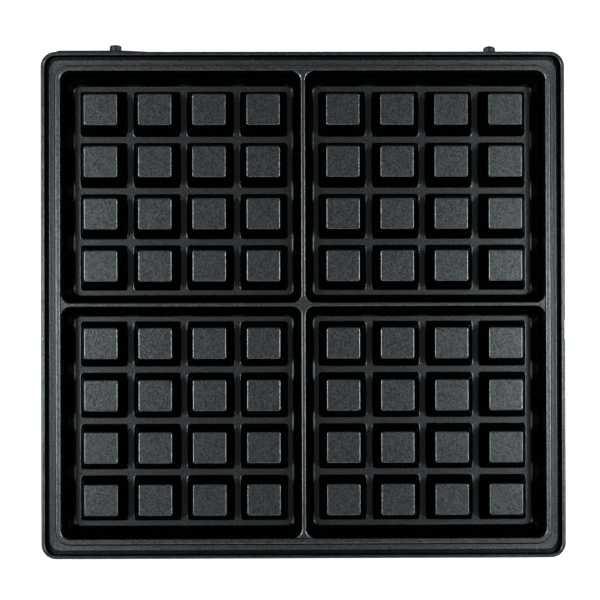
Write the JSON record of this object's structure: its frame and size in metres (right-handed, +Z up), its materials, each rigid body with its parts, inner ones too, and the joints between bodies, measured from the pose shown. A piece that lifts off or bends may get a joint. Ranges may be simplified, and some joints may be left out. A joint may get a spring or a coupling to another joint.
{
  "type": "waffle plate",
  "caption": "Removable non-stick waffle plate of a sandwich maker: square casting with pegged cells, beaded rim, rear locating lugs and a heater track below.",
  "frame": {"origin": "on the plane that the plate rests on, under the middle of the whole outline with its lugs", "axes": "+X to the right and +Y to the rear edge with the lugs, seen with the cells up; +Z up out of the cells"},
  "size_m": [0.245, 0.2414, 0.0192],
  "materials": {
    "coated_casting": "satin black non-stick coat with a fine grain over die-cast aluminium",
    "coated_lug": "satin black non-stick coat over an aluminium pin"
  },
  "bodies": {
    "root": {"waffle_plate": "coated_casting", "rear_lug_left": "coated_lug", "rear_lug_right": "coated_lug"}
  },
  "joints": []
}
